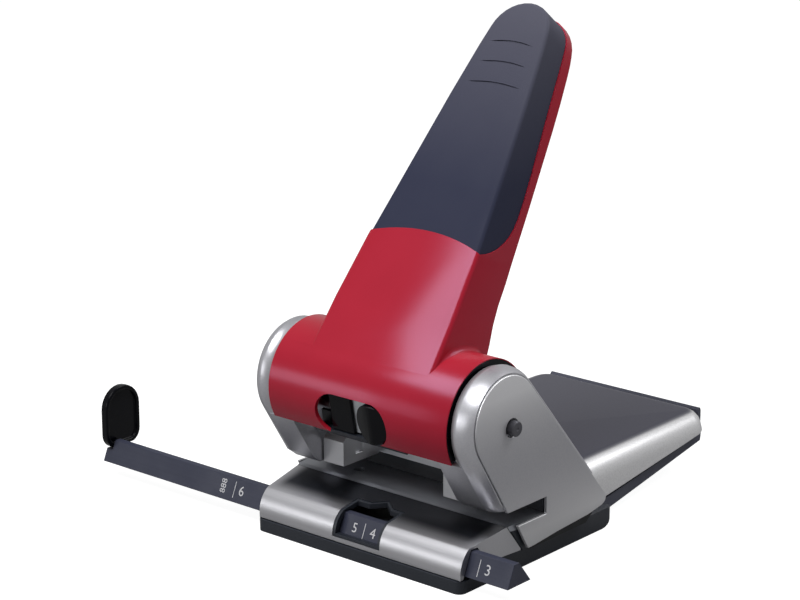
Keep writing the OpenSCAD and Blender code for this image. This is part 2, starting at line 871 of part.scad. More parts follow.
// Sliding plate with a raised body, the block that holds the bolt, and a round knob with a crest
module lock_slider() {
    knob_x = window_ends[1];
    color("#191a1d") at_window() difference() {
        union() {
            translate([-22, -12.4, 20]) cube([42, 24.8, 2.5]);
            translate([-22, -5, 18.2]) cube([12, 10, 6.2]);
            translate([-21, -10.4, 22]) cube([14.5, 20.8, 4.4]);
            intersection() {
                translate([knob_x, 0, 22]) cylinder(r = knob_r, h = 14);
                translate([knob_x, 0, 0]) rotate([90, 0, 0]) linear_extrude(50, center = true)
                    polygon([[-12, 22], [-12, 28], [-1, 30.8], [1, 30.8], [12, 28], [12, 22]]);
            }
        }
        translate([0, 0, bolt_at]) bar(bolt_r + seat, 30, -27);
    }
}

// Bright steel tongue between the body and the knob
module lock_plate() {
    color("#c9cbcf") at_window() difference() {
        translate([-6.4, -9.6, 22.52]) cube([9, 19.2, 2.4]);
        translate([window_ends[1], 0, 20]) cylinder(r = knob_r + 0.05, h = 20);
    }
}

module lock_bolt() {
    color("#b4b6ba") at_window() translate([0, 0, bolt_at]) bar(bolt_r, 30, -27);
}

// ---------------------------------------------------------------- punches

module punch(side) {
    tip_z = guide_z + 0.9;
    color("#d0d2d6") translate([side * hole_x, hole_y, 0]) difference() {
        union() {
            translate([0, 0, tip_z]) cylinder(r = punch_r, h = head_top - tip_z);
            translate([0, 0, head_top - head_h]) cylinder(r = head_r, h = head_h);
        }
        // Two raised cutting points
        translate([0, 0, tip_z - 4]) bar(4.6, 20);
    }
}

// Points of one ring of the coil's wire
function coil_ring(t, z0, rise) = [
    for (k = [0:5])
        let (a = 360 * coils * t, b = 60 * k, r = coil_r + wire / 2 * cos(b))
            [r * cos(a), r * sin(a), z0 + rise * t + wire / 2 * sin(b)]
];

module spring(side) {
    z0 = guide_z + bore_l + wire / 2 + 0.05;
    rise = head_top - head_h - z0 - wire / 2 - 0.1;
    rings = 8 * coils;
    points = [for (i = [0:rings]) each coil_ring(i / rings, z0, rise)];
    sides = [for (i = [0:rings - 1], k = [0:5]) each [
        [6 * i + k, 6 * i + (k + 1) % 6, 6 * i + 6 + k],
        [6 * i + (k + 1) % 6, 6 * i + 6 + (k + 1) % 6, 6 * i + 6 + k]
    ]];
    first = [for (k = [1:4]) [0, k + 1, k]];
    last = [for (k = [1:4]) [6 * rings, 6 * rings + k, 6 * rings + k + 1]];
    echo(spring_gap = rise / coils - wire);
    color("#c9cbcf") translate([side * hole_x, hole_y, 0]) polyhedron(points, concat(sides, first, last));
}

// ---------------------------------------------------------------- paper rail

module rail() {
    stop_t = 4.5;
    color("#41454f") difference() {
        across(rail_left + rail_right, (rail_right - rail_left) / 2) polygon(rail_outline);
        across(2 * stop_t, -rail_left) polygon([[0, 15.4], [0, 30], [30, 30], [30, 15.4]]);
    }
}

// Upright rounded stop with a sunk face, seated over the rail's ridge
module rail_stop() {
    stop_t = 4.4;
    color("#202227") difference() {
        across(stop_t, -rail_left + stop_t / 2) stop_outline(0);
        across(3, -rail_left + stop_t) stop_outline(2.4);
    }
}

module stop_outline(t) {
    c = [16.3, 37.2];
    r = 12.4 - t;
    low = [16, 22];
    polygon(concat(
        arc(c, r, 0, 180, 14), arc([low[0] - 4.6, low[1] + 1], 7.6 - t, 180, 250, 5),
        arc([low[0] + 4.9, low[1] + 1], 7.6 - t, 290, 360, 5)
    ));
}

base_foot();
foot_pads();
frame_screws();
base_frame();
die_plate();
front_cover();
window_frame();
rail_guide();
rear_cover();
back_stop();
cheek(-1);  // cheek_left
cheek(1);  // cheek_right
casing(-1);  // casing_left
casing(1);  // casing_right
pivot_shaft();
shaft_clips();
guide_bridge();
guide(-1);  // guide_left
guide(1);  // guide_right
chip_tray();
tray_pin();
lever_shell();
lever_grip();
grip_screws();
lever_frame();
bush(-1);  // bush_left
bush(1);  // bush_right
cam(-1);  // cam_left
cam(1);  // cam_right
lock_carrier();
lock_slider();
lock_bolt();
punch(-1);  // punch_left
punch(1);  // punch_right
spring(-1);  // spring_left
spring(1);  // spring_right
rail();
rail_stop();
drum_cap(-1);  // drum_cap_left
drum_cap(1);  // drum_cap_right
lock_plate();
gap_filler(-1);  // gap_filler_left
gap_filler(1);  // gap_filler_right
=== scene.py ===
import json
import math

import bmesh
import bpy
from mathutils import Matrix, Vector


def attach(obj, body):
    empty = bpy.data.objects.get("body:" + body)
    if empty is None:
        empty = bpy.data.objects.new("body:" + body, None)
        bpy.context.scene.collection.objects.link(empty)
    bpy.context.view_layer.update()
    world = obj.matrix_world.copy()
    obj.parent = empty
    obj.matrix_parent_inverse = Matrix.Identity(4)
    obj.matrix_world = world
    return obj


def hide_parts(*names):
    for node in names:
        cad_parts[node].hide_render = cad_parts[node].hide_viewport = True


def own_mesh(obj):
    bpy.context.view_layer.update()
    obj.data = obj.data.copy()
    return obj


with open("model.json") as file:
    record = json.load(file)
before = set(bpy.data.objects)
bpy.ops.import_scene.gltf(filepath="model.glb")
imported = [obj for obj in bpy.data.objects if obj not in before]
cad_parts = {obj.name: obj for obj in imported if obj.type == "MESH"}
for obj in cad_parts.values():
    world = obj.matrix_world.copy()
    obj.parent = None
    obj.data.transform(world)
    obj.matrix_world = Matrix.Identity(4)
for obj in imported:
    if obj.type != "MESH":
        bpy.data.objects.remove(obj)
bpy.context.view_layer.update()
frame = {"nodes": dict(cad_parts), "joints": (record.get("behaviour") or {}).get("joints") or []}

# ---- Camera
# It stands to the right of the punch and above it, where the photograph was taken from, with a long lens.
# Its place, its turn and its focal length come from a fit to the punch's straight edges.

image_width, focal_pixels, sensor_width = 800, 2501.26, 36
azimuth, height, roll = math.radians(40.92), math.radians(16.28), math.radians(-0.35)
camera_place = Vector((0.7784, -0.8626, 0.4752))


def put(name, data):
    """Adds an object to the scene."""
    thing = bpy.data.objects.new(name, data)
    bpy.context.scene.collection.objects.link(thing)
    return thing


back = Vector((
    math.sin(azimuth) * math.cos(height), -math.cos(azimuth) * math.cos(height), math.sin(height)
))
level = Vector((math.cos(azimuth), math.sin(azimuth), 0))
above = back.cross(level)
across = level * math.cos(roll) + above * math.sin(roll)
upward = above * math.cos(roll) - level * math.sin(roll)
stand = Matrix((across, upward, back)).transposed().to_4x4()
stand.translation = camera_place
camera = put("camera", bpy.data.cameras.new("camera"))
camera.data.sensor_width = sensor_width
camera.data.lens = focal_pixels * sensor_width / image_width
camera.data.clip_end = 30
camera.matrix_world = stand
bpy.context.scene.camera = camera

# ---- Studio
# White paper below and a white room round it, with a soft lamp above in front and a weaker one behind on the
# right. Two low panels light nothing matt and show only as highlights. Room and paper are white to the
# camera and dimmer in reflections and as light, so that forms keep their shade.


def tone(colour):
    """A colour written as sRGB hex, in the linear values that a shader takes."""
    parts = [int(colour[i:i + 2], 16) / 255 for i in (1, 3, 5)]
    return [p / 12.92 if p <= 0.04045 else ((p + 0.055) / 1.055) ** 2.4 for p in parts] + [1.0]


def add(tree, kind, inputs=None, **settings):
    """Adds a node to a tree, with its settings, and its inputs as values or as sockets to link from."""
    node = tree.nodes.new(kind)
    for name, value in settings.items():
        setattr(node, name, value)
    for socket, value in (inputs or {}).items():
        if isinstance(value, bpy.types.NodeSocket):
            tree.links.new(value, node.inputs[socket])
        else:
            node.inputs[socket].default_value = value
    return node


def finish_of(name, colour, roughness, metallic=0.0, **sockets):
    """Starts a finish: its material, its tree and its shader, with what is the same all over."""
    material = bpy.data.materials.new(name)
    material.use_nodes = True
    shader = material.node_tree.nodes["Principled BSDF"]
    values = {"Base Color": tone(colour), "Roughness": roughness, "Metallic": metallic}
    values.update({key.replace("_", " "): value for key, value in sockets.items()})
    for socket, value in values.items():
        shader.inputs[socket].default_value = value
    return material, material.node_tree, shader


def who_looks(tree):
    """Two factors: one for the camera's own rays, and one for rays that come by a gloss or through glass."""
    rays = add(tree, "ShaderNodeLightPath").outputs
    indirect = add(tree, "ShaderNodeMath", {
        0: rays["Is Transmission Ray"], 1: rays["Is Glossy Ray"]
    }, operation="MAXIMUM")
    return rays["Is Camera Ray"], indirect.outputs[0]


room_as_light, room_in_gloss = 0.15, 0.45
paper_to_camera, paper_in_gloss, paper_reach = 0.95, 0.1, 4
lamps_aim = Vector((0, 0.07, 0.08))

room = bpy.data.worlds.new("white_room")
room.use_nodes = True
bpy.context.scene.world = room
tree = room.node_tree
to_camera, in_gloss = who_looks(tree)
dimmed = add(tree, "ShaderNodeMapRange", {
    "Value": in_gloss, "To Min": room_as_light, "To Max": room_in_gloss
})
strength = add(tree, "ShaderNodeMath", {0: dimmed.outputs[0], 1: to_camera}, operation="MAXIMUM")
backdrop = tree.nodes["Background"]
backdrop.inputs["Color"].default_value = (1, 1, 1, 1)
tree.links.new(strength.outputs[0], backdrop.inputs["Strength"])

for name, spot, size, power, lights in (
    ("key_lamp", (-0.15, -0.44, 1.03), 0.55, 9.5, True),
    ("back_lamp", (0.45, 0.75, 0.95), 0.7, 6.0, True),
    ("front_panel", (-0.36, -1.10, 0.25), 0.40, 1.1, False),
    ("low_panel", (-0.74, -0.90, 0.23), 0.30, 1.5, False),
):
    lamp = put(name, bpy.data.lights.new(name, "AREA"))
    lamp.data.shape = "SQUARE"
    lamp.data.size = size
    lamp.data.energy = power
    lamp.visible_diffuse = lights
    lamp.location = spot
    lamp.rotation_euler = (lamps_aim - lamp.location).to_track_quat("-Z", "Y").to_euler()

paper, tree, shader = finish_of("white_paper", "#9A9A9A", 0.9, Specular_IOR_Level=0.0)
to_camera, in_gloss = who_looks(tree)
seen = add(tree, "ShaderNodeMath", {0: to_camera, 1: paper_to_camera}, operation="MULTIPLY")
glow = add(tree, "ShaderNodeMath", {
    0: in_gloss, 1: paper_in_gloss, 2: seen.outputs[0]
}, operation="MULTIPLY_ADD")
shader.inputs["Emission Color"].default_value = (1, 1, 1, 1)
tree.links.new(glow.outputs[0], shader.inputs["Emission Strength"])
corners = [(x * paper_reach, y * paper_reach, 0) for x, y in ((-1, -1), (1, -1), (1, 1), (-1, 1))]
floor_mesh = bpy.data.meshes.new("floor")
floor_mesh.from_pydata(corners, [], [(0, 1, 2, 3)])
floor_mesh.materials.append(paper)
floor = put("floor", floor_mesh)
bpy.context.scene.view_settings.view_transform = "Standard"

# ---- Foot and pads
# Black ABS moulding, one front bar and two side bars, spark-eroded so that it is matt with a fine grain.
# Four rubber pads, duller and coarser, are pressed into pockets below it.


def uneven_gloss(tree, shader, pattern, spread, least=0.0, most=1.0):
    """Lets a pattern, which runs from least to most, vary a finish's roughness by spread to each side."""
    rough = shader.inputs["Roughness"].default_value
    gloss = add(tree, "ShaderNodeMapRange", {
        "Value": pattern, "From Min": least, "From Max": most,
        "To Min": rough - spread, "To Max": rough + spread
    })
    tree.links.new(gloss.outputs[0], shader.inputs["Roughness"])


def grained(tree, shader, grain, depth, spread=0.08):
    """A moulded or cast grain, drawn about a millimetre wide so that it shows, and patches in its gloss."""
    patch = 0.0167
    place_on = add(tree, "ShaderNodeTexCoord").outputs["Object"]
    pits = add(tree, "ShaderNodeTexNoise", {"Vector": place_on, "Scale": 1 / grain, "Detail": 3.0})
    patches = add(tree, "ShaderNodeTexNoise", {"Vector": place_on, "Scale": 1 / patch, "Detail": 2.0})
    bump = add(tree, "ShaderNodeBump", {"Height": pits.outputs["Fac"], "Distance": depth, "Strength": 0.6})
    uneven_gloss(tree, shader, patches.outputs["Fac"], spread, least=0.3, most=0.7)
    tree.links.new(bump.outputs[0], shader.inputs["Normal"])
    return place_on


def plain_mesh(thing):
    """The mesh that an object's modifiers or letters make."""
    return bpy.data.meshes.new_from_object(thing.evaluated_get(bpy.context.evaluated_depsgraph_get()))


def worked(node, body, material, edge, steps=2, angle=26, carve=None):
    """Stands a copy in for a CAD node: doubles merged, flat faces joined, edges rounded, curves smooth."""
    weld, flat = 0.000004, math.radians(0.5)
    form = bmesh.new()
    form.from_mesh(frame["nodes"][node].data)
    bmesh.ops.remove_doubles(form, verts=form.verts, dist=weld)
    bmesh.ops.dissolve_limit(form, angle_limit=flat, verts=form.verts, edges=form.edges)
    for face in form.faces:
        face.smooth = True
        face.material_index = 0
    mesh = bpy.data.meshes.new(node + "_worked")
    form.to_mesh(mesh)
    form.free()
    for stale in [a.name for a in mesh.attributes if a.name.startswith("custom_normal")]:
        mesh.attributes.remove(mesh.attributes[stale])
    mesh.materials.clear()
    mesh.materials.append(material)
    piece = put(node + "_worked", mesh)
    rounding = piece.modifiers.new("rounding", "BEVEL")
    rounding.width = edge
    rounding.segments = steps
    rounding.limit_method = "ANGLE"
    rounding.angle_limit = math.radians(angle)
    rounding.harden_normals = True
    rounding.miter_outer = "MITER_ARC"
    if carve:
        piece.modifiers.new("carving", "BOOLEAN").object = carve
    finished = plain_mesh(piece)
    piece.modifiers.clear()
    piece.data = finished
    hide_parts(node)
    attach(piece, body)
    return piece


def dress(names, material):
    """Gives CAD nodes their finish."""
    for name in names:
        frame["nodes"][name].data.materials.clear()
        frame["nodes"][name].data.materials.append(material)


black_abs, tree, shader = finish_of("black_abs_moulding", "#2A2E36", 0.46, IOR=1.53, Specular_IOR_Level=0.3)
grained(tree, shader, grain=0.0009, depth=0.00006)
foot = worked("base_foot", "base", black_abs, edge=0.0006)
pad_rubber, tree, shader = finish_of("pad_rubber", "#151516", 0.85, IOR=1.5)
grained(tree, shader, grain=0.0015, depth=0.0001, spread=0.04)
dress(["foot_pads"], pad_rubber)

# ---- Frames and screws
# The base's frame is folded steel sheet with a black powder coat. The lever's frame is bare rolled steel,
# with the faint streaks of the mill along it. The screws, the tray's pin, the shaft and the lock's bolt and
# plate are zinc-plated steel, bright and slightly cloudy.

painted_steel, tree, shader = finish_of("black_powder_coat", "#15171A", 0.5, IOR=1.5, Specular_IOR_Level=0.3)
grained(tree, shader, grain=0.0012, depth=0.00005)
dress(["base_frame"], painted_steel)

rolled_steel, tree, shader = finish_of("rolled_steel", "#8C8F95", 0.38, 1.0)
# Streaks and scratches, here and below, are drawn wider than real ones, as wide as they need to show.
streak_width, streak_length = 0.00083, 0.025
place_on = add(tree, "ShaderNodeTexCoord").outputs["Object"]
along = add(tree, "ShaderNodeMapping", {
    "Vector": place_on, "Scale": (1 / streak_width, 1 / streak_length, 1 / streak_width)
})
streaks = add(tree, "ShaderNodeTexNoise", {"Vector": along.outputs[0], "Scale": 1.0, "Detail": 4.0})
uneven_gloss(tree, shader, streaks.outputs["Fac"], 0.08)
dress(["lever_frame"], rolled_steel)


def toned(tree, shader, pattern, other):
    """Lets a pattern turn a finish's colour towards another."""
    socket = shader.inputs["Base Color"]
    own = socket.links[0].from_socket if socket.is_linked else list(socket.default_value)
    tint = add(tree, "ShaderNodeMix", {"Factor": pattern, 6: own, 7: tone(other)}, data_type="RGBA")
    tree.links.new(tint.outputs[2], socket)


zinc_plate, tree, shader = finish_of("zinc_plate", "#A3A6AB", 0.3, 1.0)
cloud_size = 0.002
place_on = add(tree, "ShaderNodeTexCoord").outputs["Object"]
cloud = add(tree, "ShaderNodeTexNoise", {"Vector": place_on, "Scale": 1 / cloud_size, "Detail": 3.0})
toned(tree, shader, cloud.outputs["Fac"], "#C4C7CC")
dress(["frame_screws", "grip_screws", "tray_pin", "pivot_shaft", "lock_bolt", "lock_plate"], zinc_plate)

# ---- Deck and front cover
# The front cover is steel sheet, satin brushed across the punch and clear lacquered. Its nose and sides read
# bright, and its ramp, which faces the drum's dark underside, is painted deep grey as a painted reflection
# of that underside. The die plate behind it is ground steel of an even satin.


def shaded(tree, shader, pattern, least, most):
    """Lets a pattern lighten and darken a finish's colour, between these factors."""
    socket = shader.inputs["Base Color"]
    factor = add(tree, "ShaderNodeMapRange", {"Value": pattern, "To Min": least, "To Max": most})
    mixed = add(tree, "ShaderNodeMix", {
        "Factor": 1.0, 6: socket.links[0].from_socket, 7: factor.outputs[0]
    }, data_type="RGBA", blend_type="MULTIPLY")
    tree.links.new(mixed.outputs[2], socket)


brushed, tree, shader = finish_of("brushed_steel_cover", "#B4B4B8", 0.41, 1.0)
scratch_width, scratch_length = 0.000625, 0.040
ramp_start, ramp_end = 0.0068, 0.0190
dark_half_width, bright_half_width = 0.0600, 0.0685
place_on = add(tree, "ShaderNodeTexCoord").outputs["Object"]
along = add(tree, "ShaderNodeMapping", {
    "Vector": place_on, "Scale": (1 / scratch_length, 1 / scratch_width, 1 / scratch_width)
})
scratches = add(tree, "ShaderNodeTexNoise", {"Vector": along.outputs[0], "Scale": 1.0, "Detail": 3.0})
parts = add(tree, "ShaderNodeSeparateXYZ", {"Vector": place_on}).outputs
# Painted reflection: the ramp is turned deep grey, fading out before the sides.
ramp = add(tree, "ShaderNodeMapRange", {
    "Value": parts["Y"], "From Min": ramp_start, "From Max": ramp_end
}, interpolation_type="SMOOTHSTEP")
aside = add(tree, "ShaderNodeMath", {0: parts["X"]}, operation="ABSOLUTE")
inner = add(tree, "ShaderNodeMapRange", {
    "Value": aside.outputs[0], "From Min": dark_half_width, "From Max": bright_half_width,
    "To Min": 1.0, "To Max": 0.0
}, interpolation_type="SMOOTHSTEP")
painted_reflection = add(tree, "ShaderNodeMath", {0: ramp.outputs[0], 1: inner.outputs[0]}, operation="MULTIPLY")
toned(tree, shader, painted_reflection.outputs[0], "#33353C")
shaded(tree, shader, scratches.outputs["Fac"], 0.9, 1.06)
uneven_gloss(tree, shader, scratches.outputs["Fac"], 0.07)
cover = worked("front_cover", "base", brushed, edge=0.00035)

satin_steel, tree, shader = finish_of("satin_steel_deck", "#A0A3AA", 0.4, 0.7)
grained(tree, shader, grain=0.0012, depth=0.00003, spread=0.05)
dress(["die_plate"], satin_steel)

# ---- Window bezel, rail guide, gap fillers, back stop and lock carrier
# Small black ABS mouldings of the same grain as the foot, snapped into the sheet covers and the drum. Matt
# and dark, they read as gaps between the bright covers.

for node in ("window_frame", "gap_filler_left", "gap_filler_right", "back_stop"):
    worked(node, "base", black_abs, edge=0.00025)
dress(["rail_guide", "lock_carrier"], black_abs)

# ---- Rear cover
# Pressed steel sheet in silver lacquer with metal flake, drawn coarser than real flake so that it shows. Its
# sides roll down in a wide radius. The flat top is painted darker up to the start of the roll, a painted
# reflection.

rear_silver, tree, shader = finish_of("silver_lacquer_rear", "#E4E4E6", 0.36, 0.6)
flake = 0.0009
roll_height, top_height = 0.0328, 0.0339
place_on = add(tree, "ShaderNodeTexCoord").outputs["Object"]
flakes = add(tree, "ShaderNodeTexVoronoi", {"Vector": place_on, "Scale": 1 / flake})
rise = add(tree, "ShaderNodeSeparateXYZ", {"Vector": place_on}).outputs["Z"]
# Painted reflection: the flat top is turned a darker grey.
top = add(tree, "ShaderNodeMapRange", {
    "Value": rise, "From Min": roll_height, "From Max": top_height
}, interpolation_type="SMOOTHSTEP")
toned(tree, shader, top.outputs[0], "#4F4F5E")
shaded(tree, shader, flakes.outputs["Distance"], 1.06, 0.9)
rear = worked("rear_cover", "base", rear_silver, edge=0.0003, angle=35)

# ---- Cheek plates
# Steel plates in satin silver grey lacquer with metal flake, let into the casings' rims with a dark line
# between. The finish gives them a slight bow, and their heads and feet are painted paler as painted light,
# since they catch more light.


def crown_of(tree, distance, radius):
    """A slight bow of this radius in a flat face, as a normal, and the squared distance it grows with."""
    squared = add(tree, "ShaderNodeMath", {0: distance, 1: distance}, operation="MULTIPLY").outputs[0]
    crown = add(tree, "ShaderNodeBump", {"Height": squared, "Distance": -0.5 / radius})
    return crown.outputs[0], squared


silver_grey, tree, shader = finish_of("silver_grey_lacquer", "#B4B4B8", 0.38, 0.5)
plate_middle, plate_bow, pale_from_middle = 0.058, 0.139, 0.0374
place_on = add(tree, "ShaderNodeTexCoord").outputs["Object"]
flakes = add(tree, "ShaderNodeTexVoronoi", {"Vector": place_on, "Scale": 1 / flake})
rise = add(tree, "ShaderNodeSeparateXYZ", {"Vector": place_on}).outputs["Z"]
off_middle = add(tree, "ShaderNodeMath", {0: rise, 1: plate_middle}, operation="SUBTRACT")
crown, squared = crown_of(tree, off_middle.outputs[0], plate_bow)
bump = add(tree, "ShaderNodeBump", {
    "Height": flakes.outputs["Distance"], "Distance": 0.00002, "Strength": 0.25, "Normal": crown
})
# Painted light: the plates turn paler towards their heads and feet.
ends = add(tree, "ShaderNodeMapRange", {"Value": squared, "From Max": pale_from_middle ** 2})
toned(tree, shader, flakes.outputs["Distance"], "#ABABB2")
toned(tree, shader, ends.outputs[0], "#E2E2E5")
tree.links.new(bump.outputs[0], shader.inputs["Normal"])
for node in ("cheek_left", "cheek_right"):
    worked(node, "base", silver_grey, edge=0.0005, steps=3)

# ---- Casings
# Steel pressings between the drum and the cheek plates, in the same lacquer with more metal in it. Their
# colour is painted a shade lighter than the plates', as painted light for the light they catch.

# Painted light: the casings' base colour is a lighter copy of the plates' lacquer.
bright_silver, tree, shader = finish_of("bright_silver_lacquer", "#C6C6CA", 0.34, 0.75)
place_on = add(tree, "ShaderNodeTexCoord").outputs["Object"]
flakes = add(tree, "ShaderNodeTexVoronoi", {"Vector": place_on, "Scale": 1 / flake})
toned(tree, shader, flakes.outputs["Distance"], "#BCBCC3")
for node in ("casing_left", "casing_right"):
    worked(node, "base", bright_silver, edge=0.0003, angle=32)

# ---- Shaft clips and shaft ends
# Phosphated steel, dark and satin. The lever's shaft is held by a clip at each side, and its ends stand out
# of the cheek plates, turned with a chamfer and a centre mark.

phosphate, tree, shader = finish_of("phosphated_steel", "#5A5A60", 0.5, 0.7)
grained(tree, shader, grain=0.0012, depth=0.00003)
dress(["shaft_clips"], phosphate)

pivot = Vector(next(joint["pos_m"] for joint in frame["joints"] if joint["name"] == "lever_turn"))
sides = ((-1, "left"), (1, "right"))
shaft_r, shaft_from, shaft_to = 0.00385, 0.0724, 0.0773
chamfer_along, chamfer_down, mark_r, mark_depth = 0.0004, 0.00045, 0.001, 0.0004


def solid_of(name, form, material=None):
    """Turns a worked-out form into an object with its finish."""
    mesh = bpy.data.meshes.new(name)
    form.to_mesh(mesh)
    form.free()
    if material:
        mesh.materials.append(material)
    return put(name, mesh)


for side, word in sides:
    turned = bmesh.new()
    profile = [turned.verts.new((side * x, pivot.y, pivot.z + r)) for x, r in (
        (shaft_from, shaft_r), (shaft_to - chamfer_along, shaft_r), (shaft_to, shaft_r - chamfer_down),
        (shaft_to, mark_r), (shaft_to - mark_depth, mark_r / 2), (shaft_to - mark_depth, 0.0)
    )]
    for a, b in zip(profile, profile[1:]):
        turned.edges.new((a, b))
    bmesh.ops.spin(turned, geom=turned.verts[:] + turned.edges[:], cent=pivot, axis=(1, 0, 0),
                   angle=math.tau, steps=40, use_merge=True)
    bmesh.ops.remove_doubles(turned, verts=turned.verts, dist=0.00001)
    bmesh.ops.recalc_face_normals(turned, faces=turned.faces)
    for face in turned.faces:
        face.smooth = True
    shaft_end = solid_of("pivot_end_" + word, turned, phosphate)
    shaft_end.data.set_sharp_from_angle(angle=math.radians(30))
    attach(shaft_end, "base")

# ---- Punch guides
# Zinc die castings, tumbled so that their faces are satin and even. The cross wall that joins the two guides
# between the casings is cast and finished alike.

cast_zinc, tree, shader = finish_of("tumbled_zinc_casting", "#CDCED2", 0.38, 0.6)
grained(tree, shader, grain=0.0012, depth=0.00003, spread=0.06)
for node in ("guide_left", "guide_right"):
    worked(node, "base", cast_zinc, edge=0.0005)
dress(["guide_bridge"], cast_zinc)

# ---- Chip tray
# Dark grey ABS moulding, matt and grained like the foot. It closes the underside and hangs on a steel pin in
# the foot, so that it tips down to be emptied.

tray_abs, tree, shader = finish_of(
    "dark_grey_abs_moulding", "#4A4C5A", 0.5, IOR=1.53, Specular_IOR_Level=0.3
)
grained(tree, shader, grain=0.0009, depth=0.00006)
worked("chip_tray", "tray", tray_abs, edge=0.0005)

# ---- Lever
# Pressed steel shell in red lacquer with a clear coat: smooth, with a slight ripple from the spray gun and
# faint clouds in the red. The finish gives the arm's right half a slight bow, which draws out its highlight.
# Small fillets ease the arm's root into the drum.

red_lacquer, tree, shader = finish_of(
    "red_lacquer", "#B01C2E", 0.27, Specular_IOR_Level=0.2, Specular_Tint=tone("#BBA0FF"),
    Coat_Weight=0.3, Coat_Roughness=0.25, Coat_IOR=1.5
)
ripple_size, ripple_depth, red_cloud_size, arm_bow = 0.0035, 0.00005, 0.0222, 0.1923
place_on = add(tree, "ShaderNodeTexCoord").outputs["Object"]
ripple = add(tree, "ShaderNodeTexNoise", {"Vector": place_on, "Scale": 1 / ripple_size, "Detail": 2.0})
across_x = add(tree, "ShaderNodeSeparateXYZ", {"Vector": place_on}).outputs["X"]
right_of_middle = add(tree, "ShaderNodeMath", {0: across_x, 1: 0.0}, operation="MAXIMUM")
crown, _ = crown_of(tree, right_of_middle.outputs[0], arm_bow)
bump = add(tree, "ShaderNodeBump", {
    "Height": ripple.outputs["Fac"], "Distance": ripple_depth, "Strength": 0.35, "Normal": crown
})
tree.links.new(bump.outputs[0], shader.inputs["Normal"])
tree.links.new(bump.outputs[0], shader.inputs["Coat Normal"])
clouds = add(tree, "ShaderNodeTexNoise", {"Vector": place_on, "Scale": 1 / red_cloud_size, "Detail": 2.0})
toned(tree, shader, clouds.outputs["Fac"], "#B82032")
shell = worked("lever_shell", "lever", red_lacquer, edge=0.0008, steps=3, angle=30)

# The lever's own frame: across it, along it from the pivot, and out of its front.
lever_rise = math.radians(52)
lever_place = Matrix.Translation(pivot) @ Matrix.Rotation(lever_rise, 4, "X")
fillet_r, drum_r = 0.003, 0.03117
arm_half_width, arm_taper = 0.03965, 0.0008
# The fillets run this many degrees round the drum from the arm's front, and thin out towards both ends.
fillet_from, fillet_to, rows_along, steps_across = 24, 93, 32, 8
thinnest, rows_to_front, rows_to_back = 0.04, 10, 5
for side, word in sides:
    saddle = bmesh.new()
    rows = []
    for i in range(rows_along + 1):
        turn = math.radians(fillet_from + (fillet_to - fillet_from) * i / rows_along)
        r = fillet_r * min(1.0, thinnest + i / rows_to_front, thinnest + (rows_along - i) / rows_to_back)
        arch = [math.radians(90 * k / steps_across) for k in range(steps_across + 1)]
        rows.append([saddle.verts.new((
            side * (arm_half_width - arm_taper * math.sin(turn) + r * (1 - math.cos(u))),
            (drum_r + r * (1 - math.sin(u))) * math.sin(turn),
            (drum_r + r * (1 - math.sin(u))) * math.cos(turn)
        )) for u in arch])
    for a, b in zip(rows, rows[1:]):
        for k in range(steps_across):
            corners = (a[k], a[k + 1], b[k + 1], b[k])
            saddle.faces.new(corners[::side]).smooth = True
    saddle.transform(lever_place)
    fillet = solid_of("saddle_" + word, saddle, red_lacquer)
    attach(fillet, "lever")

# ---- Drum caps
# Black acetal mouldings that are pressed into the drum's ends. They are polished, so that a thin bright line
# runs round them, and faint handling marks break the gloss.

gloss_black, tree, shader = finish_of(
    "gloss_black_acetal", "#07080E", 0.17, IOR=1.48, Specular_IOR_Level=0.15
)
mark_size = 0.0055
place_on = add(tree, "ShaderNodeTexCoord").outputs["Object"]
marks = add(tree, "ShaderNodeTexNoise", {"Vector": place_on, "Scale": 1 / mark_size, "Detail": 4.0})
uneven_gloss(tree, shader, marks.outputs["Fac"], 0.07)
for node in ("drum_cap_left", "drum_cap_right"):
    worked(node, "lever", gloss_black, edge=0.0003)

# ---- Grip
# Soft thermoplastic rubber moulded over the upper lever, matt with a leather-fine grain, and painted lighter
# towards the tip as painted light. Three shallow crescents near the tip keep the hand from slipping.

soft_grip, tree, shader = finish_of("soft_grip_rubber", "#33364A", 0.6, IOR=1.5, Specular_IOR_Level=0.1)
pale_start, pale_end = 0.18, 0.27
place_on = grained(tree, shader, grain=0.0011, depth=0.00008, spread=0.05)
rise = add(tree, "ShaderNodeSeparateXYZ", {"Vector": place_on}).outputs["Z"]
# Painted light: the grip turns paler towards the tip.
painted_light_tip = add(tree, "ShaderNodeMapRange", {"Value": rise, "From Min": pale_start, "From Max": pale_end})
toned(tree, shader, painted_light_tip.outputs[0], "#5A5A67")

groove_floor, groove_top = 0.0294, 0.0315
upper_bow, lower_bow = 0.0017, 0.0005
grooves = bmesh.new()
for along, half_width in ((0.1863, 0.0136), (0.1744, 0.0146), (0.1623, 0.0168)):
    spans = [i / 10 for i in range(-10, 11)]
    upper = [(half_width * u, along + upper_bow * (1 - u * u)) for u in spans]
    lower = [(half_width * u, along + lower_bow * (1 - u * u)) for u in reversed(spans[1:-1])]
    bottom, top = [
        [grooves.verts.new((x, s, out)) for x, s in upper + lower] for out in (groove_floor, groove_top)
    ]
    grooves.faces.new(top)
    grooves.faces.new(list(reversed(bottom)))
    for i in range(len(bottom)):
        j = (i + 1) % len(bottom)
        grooves.faces.new((bottom[i], bottom[j], top[j], top[i]))
bmesh.ops.recalc_face_normals(grooves, faces=grooves.faces)
grooves.transform(lever_place)
cutter = solid_of("grooves", grooves)
grip = worked("lever_grip", "lever", soft_grip, edge=0.0008, steps=3, angle=30, carve=cutter)
bpy.data.objects.remove(cutter)

# ---- Bushes, cams and punches
# Bushes turned from brass, with the tool's ring marks. Cams and punches of tool steel, ground bright along
# their length. All sit inside the drum and the guides.

